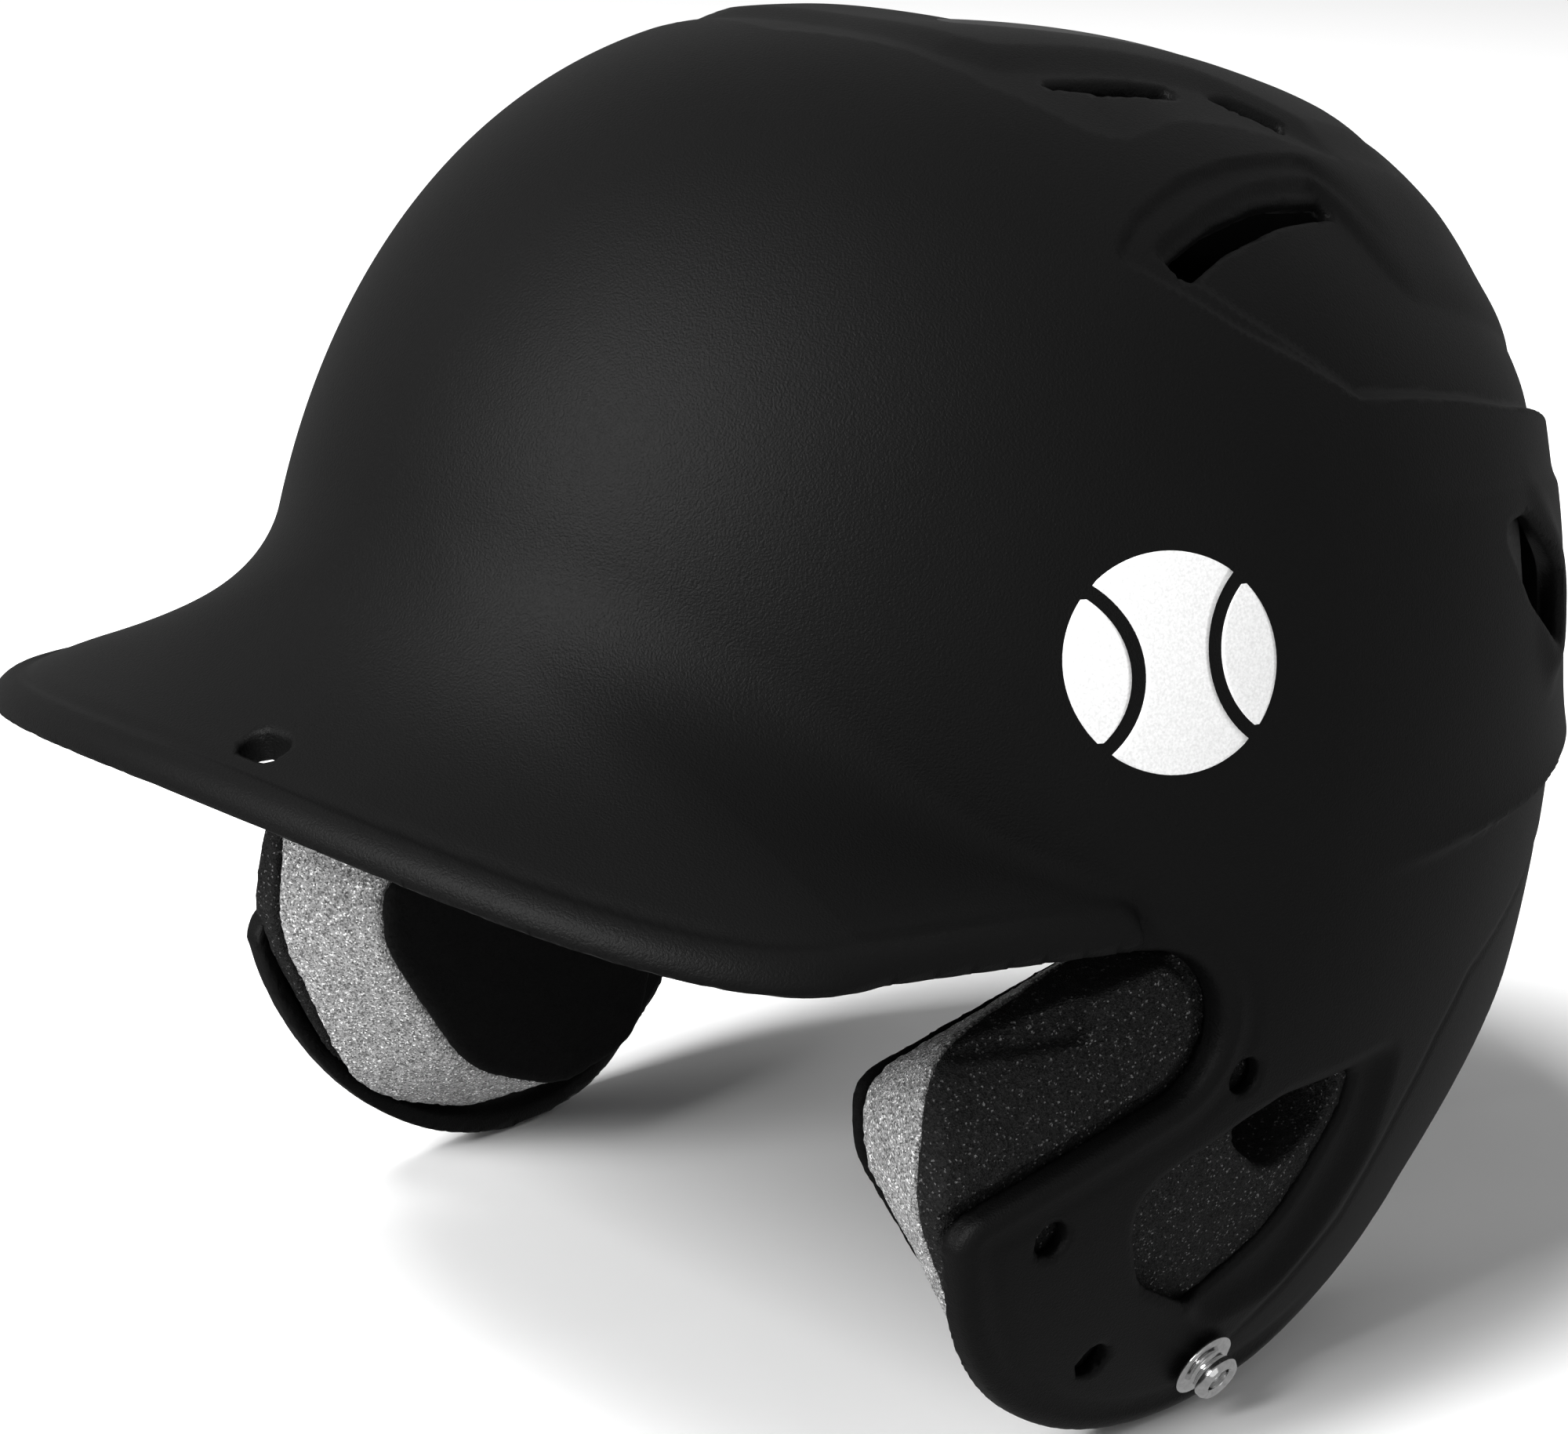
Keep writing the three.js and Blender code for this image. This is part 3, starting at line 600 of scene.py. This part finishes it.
def chrome_material():
    """Plated snap metal with faint polishing marks."""
    material, tree, surface = new_material("snap_metal")
    marks = noise(tree, 900, 3.0)
    color = color_ramp(tree, marks.outputs["Fac"], [(0.3, grey(0.62)), (0.7, grey(0.78))])
    link(tree, color.outputs["Color"], surface.inputs["Base Color"])
    rough = map_range(tree, marks.outputs["Fac"], 0.08, 0.2)
    link(tree, rough.outputs["Result"], surface.inputs["Roughness"])
    surface.inputs["Metallic"].default_value = 1.0
    return material


def decal_material():
    """Printed silver ink with a fine metallic fleck."""
    material, tree, surface = new_material("decal_ink")
    fleck = noise(tree, 2400, 2.0)
    color = color_ramp(tree, fleck.outputs["Fac"], [(0.3, grey(0.52)), (0.7, grey(0.66))])
    link(tree, color.outputs["Color"], surface.inputs["Base Color"])
    surface.inputs["Roughness"].default_value = 0.5
    return material


SHELL_PLASTIC = shell_material()
# Dark grey base foam whose colour is set nearly black, painting the brim's shade onto it.
DARK_FOAM_AND_PAINTED_SHADE = foam_material("dark_foam", 0.001, 0.008, 0.09, 0.05)
LIGHT_FOAM = foam_material("light_foam", 0.05, 0.3, 0.8, 0.08)
EAR_FABRIC = fabric_material("ear_fabric", 0.0012, 0.006, 1500)
LINER_FABRIC = fabric_material("liner_fabric", 0.004, 0.014, 1100)
LINER_FOAM = eva_material()
SNAP_METAL = chrome_material()
DECAL_INK = decal_material()


# ---------------------------------------------------------------- shell
def build_shell():
    low, high = (-108, -142, -103), (108, 138, 128)
    points, quads, normals = mesh_field(shell_field, low, high, SHELL_CELL, mirror=True)
    piece = add_mesh("moulded_shell", points, quads, normals)
    finish_piece(piece, SHELL_PLASTIC, "shell_plastic", "shell")


# ---------------------------------------------------------------- liner pads
SIDE_PAD = rounded([(-44, 8, 8), (40, 8, 20), (66, -14, 10), (66, 62, 14), (-44, 68, 14)])
# view plane, outline in that plane, and the part of the dome that the pad lies on
LINER = {
    "front": ("xz", rounded([(-58, 34, 10), (0, 31, 60), (58, 34, 10), (50, 72, 14), (-50, 72, 14)]),
              lambda x, y, z: y < -10),
    "crown": ("xy", rounded([(-33, -46, 12), (33, -46, 12), (36, 62, 14), (-36, 62, 14)]),
              lambda x, y, z: z > 50),
    "rear": ("xz", rounded([(-56, -22, 10), (0, -26, 50), (56, -22, 10), (58, 58, 14), (-58, 58, 14)]),
             lambda x, y, z: y > 30),
    "left_side": ("yz", SIDE_PAD, lambda x, y, z: x > 40),
    "right_side": ("yz", SIDE_PAD, lambda x, y, z: x < -40),
}
EDGE_ROUNDING = 3.0
DIMPLE_PITCH = 16
DIMPLE_DEPTH = 0.8


def liner_field(view, outline, where, outer, thickness, shrink, dimples):
    """One liner layer: a slab under the dome, cut to its outline, with rounded edges."""
    def field(x, y, z):
        depth = -dome_field(np.abs(x), y, z)
        slab = np.maximum(outer - depth, depth - outer - thickness)
        across = {"x": x, "y": y, "z": z}
        u, v = across[view[0]], across[view[1]]
        edge = outline_distance(u, v, outline) + shrink
        pad = soft_max(slab, edge, EDGE_ROUNDING)
        if dimples:
            spots = np.cos(u * 2 * math.pi / DIMPLE_PITCH) * np.cos(v * 2 * math.pi / DIMPLE_PITCH)
            inner = ramp(depth, outer + thickness * 0.5, outer + thickness)
            pad = pad + DIMPLE_DEPTH * np.clip(spots - 0.45, 0, 1) * inner
        return np.where(where(x, y, z), pad, 30.0)
    return field


def build_liner():
    for place, (view, outline, where) in LINER.items():
        base = f"liner_{place}_base"
        cover = f"liner_{place}_cover"
        layers = (
            (base, LINER_FOAM, "liner_foam", WALL + GAP, LINER_BASE, 0.0, False),
            (cover, LINER_FABRIC, "liner_fabric", WALL + 2 * GAP + LINER_BASE, LINER_COVER, 0.6, True),
        )
        for node, material, slot, outer, thickness, shrink, dimples in layers:
            low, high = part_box(node)
            shift = (0, SHIFT_Y, SHIFT_Z)
            low = [value * 1000 - moved - 4 for value, moved in zip(low, shift)]
            high = [value * 1000 - moved + 4 for value, moved in zip(high, shift)]
            field = liner_field(view, outline, where, outer, thickness, shrink, dimples)
            points, quads, normals = mesh_field(field, low, high, PAD_CELL * 1.7)
            piece = add_mesh(f"{node}_pad", points, quads, normals)
            finish_piece(piece, material, slot, node, fill=0.9)


# ---------------------------------------------------------------- ear pads
EAR_PAD_SHELL_SIDE = [(-67, -21, 12), (-69, -46, 26), (-52, -84, 30), (-22, -94.5, 24), (1, -86, 14),
                      (5, -64, 10), (26, -44, 14), (27, 2, 12)]
EAR_PAD_HEAD_SIDE = [(-61, -33, 9), (-60, -46, 18), (-42, -74, 26), (-20, -83.5, 18), (-1, -79, 12),
                     (4, -62, 10), (22, -48, 12), (24, -20, 10)]
EAR_OPENING = rounded([(-12, -38, 7), (-13, -46, 8), (-1, -56, 8), (11, -48, 8), (11, -38, 7)], 8)
EAR_LAYER_X = 80.0
EAR_PAD_OUTER_X = 104.0
EAR_LAYERS = (
    # node, thickness, edge rounding, material, slot, surface roughness in mm
    ("base_foam", 7.0, 1.2, DARK_FOAM_AND_PAINTED_SHADE, "dark_foam", 0.3),
    ("core_foam", 19.0, 1.6, LIGHT_FOAM, "light_foam", 0.4),
    ("face_cover", 3.0, 2.4, EAR_FABRIC, "ear_fabric", 0.2),
)


def lattice_noise(points, scale, seed):
    """Smooth value noise from -1 to 1 with cells of the given size."""
    table = np.random.default_rng(seed).uniform(-1, 1, 4096)
    scaled = points / scale
    base = np.floor(scaled).astype(np.int64)
    part = smooth(scaled - base)
    total = np.zeros(len(points))
    for corner in np.ndindex(2, 2, 2):
        cell = base + corner
        key = (cell[:, 0] * 73856093 ^ cell[:, 1] * 19349663 ^ cell[:, 2] * 83492791) & 4095
        weight = np.prod(np.where(np.array(corner) == 1, part, 1 - part), axis=1)
        total += table[key] * weight
    return total


def ear_layer_field(inner_x, outer_x, rounding):
    """One layer of an ear pad. The outline narrows from the shell side to the head side."""
    shell_side = rounded(EAR_PAD_SHELL_SIDE, 8)
    head_side = rounded(EAR_PAD_HEAD_SIDE, 8)

    def field(x, y, z):
        inwards = np.clip((EAR_LAYER_X - x) / 20, 0, 1)
        edge = outline_distance(y, z, shell_side, 400) * (1 - inwards)
        edge = edge + outline_distance(y, z, head_side, 400) * inwards
        sides = soft_max(edge, -outline_distance(y, z, EAR_OPENING), 2.0)
        rim = outline_distance(y, z, BELOW_RIM, 400)
        within = dome_field(np.abs(x), y, z) + wall_at(y, z, rim) + GAP + 0.3
        return soft_max(sides, np.maximum(np.maximum(inner_x - x, x - outer_x), within), rounding)
    return field


def build_ear_pads():
    outer_x = EAR_PAD_OUTER_X
    for name, thickness, rounding, material, slot, roughness in EAR_LAYERS:
        inner_x = EAR_LAYER_X if name == "base_foam" else outer_x - thickness
        field = ear_layer_field(inner_x, outer_x, rounding)
        low = (inner_x - 2, -73, -98)
        high = (outer_x + 2, 31, 6)
        points, quads, normals = mesh_field(field, low, high, PAD_CELL)
        bumps = 0.6 * lattice_noise(points, 1.1, 3) + 0.4 * lattice_noise(points, 2.6, 5)
        points = points + normals * (roughness * bumps)[:, None]
        for side, label in ((1, "left"), (-1, "right")):
            placed = points * (side, 1, 1)
            faces = quads if side > 0 else quads[:, ::-1]
            piece = add_mesh(f"{label}_ear_{name}_pad", placed, faces)
            finish_piece(piece, material, slot, f"{label}_ear_{name}", fill=0.95)
        outer_x = inner_x - GAP


# ---------------------------------------------------------------- snaps
SNAP_FLANGE = 6.0
SNAP_CAP = 4.2
SNAP_HOLLOW = 2.3
SNAP_RISE = 4.6
SNAP_GRIP = 5.2
SNAP_FACE_RADIUS = 2.95


def round_profile(profile, rounding=0.28, steps=4):
    """Softens the corners of a closed lathe profile."""
    corners = [(r, z, rounding) for r, z in profile]
    return rounded(corners, steps)


def lathe(name, profile, centre, axis, along, segments=96):
    """A closed solid of revolution about axis, in the row frame."""
    third = axis.cross(along)
    count = len(profile)
    points = []
    for i in range(segments):
        angle = 2 * math.pi * i / segments
        out = math.cos(angle) * along + math.sin(angle) * third
        points += [tuple(centre + (out * r + axis * z) / 1000) for r, z in profile]
    faces = []
    for i in range(segments):
        for j in range(count):
            a, b = i * count + j, i * count + (j + 1) % count
            c, d = (i + 1) % segments * count + (j + 1) % count, (i + 1) % segments * count + j
            faces.append((a, d, c, b))
    mesh = bpy.data.meshes.new(name)
    mesh.from_pydata(points, [], faces)
    mesh.polygons.foreach_set("use_smooth", [True] * len(faces))
    mesh.update()
    piece = bpy.data.objects.new(name, mesh)
    bpy.context.scene.collection.objects.link(piece)
    return piece


def build_snaps():
    mounts = {mount["name"]: mount for mount in frame["record"]["mounts"]}
    for label in ("left", "right"):
        mount = mounts[f"{label}_snap_face"]
        axis = Vector(mount["axis"]).normalized()
        along = Vector((0, 1, 0))
        top = Vector(mount["pos_m"]) - along * SNAP_FACE_RADIUS / 1000
        centre = top - axis * SNAP_RISE / 1000
        stud = round_profile([
            (SNAP_HOLLOW, 0.02), (SNAP_HOLLOW, SNAP_RISE - 0.5), (SNAP_HOLLOW + 0.5, SNAP_RISE),
            (SNAP_CAP - 0.5, SNAP_RISE), (SNAP_CAP, SNAP_RISE - 0.8), (SNAP_CAP, SNAP_RISE - 1.7),
            (SNAP_CAP - 0.8, SNAP_RISE - 2.5), (SNAP_CAP - 0.7, 1.3), (SNAP_FLANGE - 0.9, 1.05),
            (SNAP_FLANGE, 0.75), (SNAP_FLANGE, 0.2), (SNAP_FLANGE - 0.4, 0.02)])
        tube = SNAP_HOLLOW - GAP
        eyelet = round_profile([
            (1.2, -SNAP_GRIP - 0.8), (1.2, SNAP_RISE - 2.0),
            (tube - 0.3, SNAP_RISE - 1.2), (tube, SNAP_RISE - 1.6), (tube, -SNAP_GRIP),
            (5.0, -SNAP_GRIP), (5.2, -SNAP_GRIP - 0.4), (4.8, -SNAP_GRIP - 0.8)], 0.2)
        piece = lathe(f"{label}_stud", stud, centre, axis, along)
        finish_piece(piece, SNAP_METAL, "snap_metal", f"{label}_snap_stud")
        piece = lathe(f"{label}_eyelet", eyelet, centre, axis, along, 48)
        finish_piece(piece, SNAP_METAL, "snap_metal", f"{label}_snap_eyelet")


# ---------------------------------------------------------------- printed mark
DECAL_CENTRE = (-31.0, 36.0)
DECAL_RADIUS = 16.5
DECAL_SEAM_RADIUS = 15.0
DECAL_SEAM_CENTRE = 21.0
DECAL_SEAM_WIDTH = 2.2
DECAL_THICKNESS = 0.12


def on_shell(y, z, lift):
    """The x of the shell's outer face over side-view points."""
    x = np.full(y.shape, 95.0)
    for _ in range(12):
        value = dome_field(x, y, z) - lift
        slope = (dome_field(x + 0.1, y, z) - dome_field(x - 0.1, y, z)) / 0.2
        x = x - value / slope
    return x


def decal_patches(rows=49):
    """Left and right ends, row by row, of the three parts of a plain ball with two seams."""
    def circle(height, radius):
        return np.sqrt(np.maximum(radius ** 2 - height ** 2, 0))

    meet = (DECAL_RADIUS ** 2 - DECAL_SEAM_RADIUS ** 2 + DECAL_SEAM_CENTRE ** 2) / (2 * DECAL_SEAM_CENTRE)
    reach = math.sqrt(DECAL_RADIUS ** 2 - meet ** 2)
    full = DECAL_RADIUS * np.sin(np.linspace(-math.pi / 2, math.pi / 2, rows))
    cap = (reach - 1.2) * np.sin(np.linspace(-math.pi / 2, math.pi / 2, rows))
    inner = circle(cap, DECAL_SEAM_RADIUS - DECAL_SEAM_WIDTH / 2) - DECAL_SEAM_CENTRE
    rim = circle(cap, DECAL_RADIUS)
    outer = DECAL_SEAM_CENTRE - circle(full, DECAL_SEAM_RADIUS + DECAL_SEAM_WIDTH / 2)
    waist = np.minimum(circle(full, DECAL_RADIUS), outer)
    return ((cap, -rim, np.minimum(inner, -0.5)), (full, -waist, waist), (cap, np.maximum(-inner, 0.5), rim))


def patch_solid(height, start, end, side, columns=17):
    """A thin closed sheet between two edges, laid over the shell."""
    share = np.linspace(0, 1, columns)
    y = DECAL_CENTRE[0] + start[:, None] + (end - start)[:, None] * share
    z = DECAL_CENTRE[1] + np.repeat(height[:, None], columns, 1)
    sheets = [np.stack((on_shell(y, z, lift) * side, y, z), -1) for lift in (-0.05, DECAL_THICKNESS)]
    points = np.concatenate([sheet.reshape(-1, 3) for sheet in sheets])
    rows = len(height)
    under, top = (np.arange(rows * columns).reshape(rows, columns) + k * rows * columns for k in (0, 1))
    faces = []
    for i in range(rows - 1):
        for j in range(columns - 1):
            faces.append((top[i, j], top[i, j + 1], top[i + 1, j + 1], top[i + 1, j]))
            faces.append((under[i, j], under[i + 1, j], under[i + 1, j + 1], under[i, j + 1]))
    ring = [(0, j) for j in range(columns)] + [(i, columns - 1) for i in range(1, rows)]
    ring += [(rows - 1, j) for j in range(columns - 2, -1, -1)] + [(i, 0) for i in range(rows - 2, 0, -1)]
    for a, b in zip(ring, ring[1:] + ring[:1]):
        faces.append((under[a], under[b], top[b], top[a]))
    turned = faces if side > 0 else [face[::-1] for face in faces]
    return points, [tuple(int(k) for k in face) for face in turned]


def build_decals():
    for side, label in ((1, "left"), (-1, "right")):
        for part, (height, start, end) in zip(("front", "middle", "rear"), decal_patches()):
            points, faces = patch_solid(height, start, end, side)
            piece = add_mesh(f"{label}_printed_ball_{part}", points, faces)
            finish_piece(piece, DECAL_INK, "shell_plastic")


# ---------------------------------------------------------------- stage
FLOOR_HALF_SIZE = 6.0


def add_floor():
    size = FLOOR_HALF_SIZE
    mesh = bpy.data.meshes.new("floor")
    corners = [(-size, -size, 0), (size, -size, 0), (size, size, 0), (-size, size, 0)]
    mesh.from_pydata(corners, [], [(0, 1, 2, 3)])
    floor = bpy.data.objects.new("floor", mesh)
    bpy.context.scene.collection.objects.link(floor)
    material, tree, surface = new_material("floor_pale")
    surface.inputs["Base Color"].default_value = (0.93, 0.93, 0.93, 1)
    surface.inputs["Roughness"].default_value = 0.9
    floor.data.materials.append(material)
    floor.visible_glossy = False


def add_area_light(name, place, target, size, power):
    data = bpy.data.lights.new(name, "AREA")
    data.shape = "RECTANGLE"
    data.size, data.size_y = size
    data.energy = power
    light = bpy.data.objects.new(name, data)
    light.location = place
    aim = Vector(target) - Vector(place)
    light.rotation_euler = aim.to_track_quat("-Z", "Y").to_euler()
    bpy.context.scene.collection.objects.link(light)
    return light


def add_studio():
    world = bpy.data.worlds.new("studio")
    world.use_nodes = True
    world.node_tree.nodes["Background"].inputs["Color"].default_value = (1, 1, 1, 1)
    world.node_tree.nodes["Background"].inputs["Strength"].default_value = 0.33
    bpy.context.scene.world = world
    middle = (0, 0, 0.12)
    add_area_light("key", (-0.15, -2.0, 1.45), middle, (1.2, 1.0), 72)
    top = add_area_light("top", (-0.4, -0.9, 2.4), middle, (1.2, 1.2), 115)
    top.visible_glossy = False
    add_area_light("fill", (1.9, -0.9, 0.5), middle, (1.2, 1.2), 3)
    scene = bpy.context.scene
    scene.view_settings.view_transform = "Standard"


build_shell()
build_liner()
build_ear_pads()
build_snaps()
build_decals()
add_floor()
add_studio()
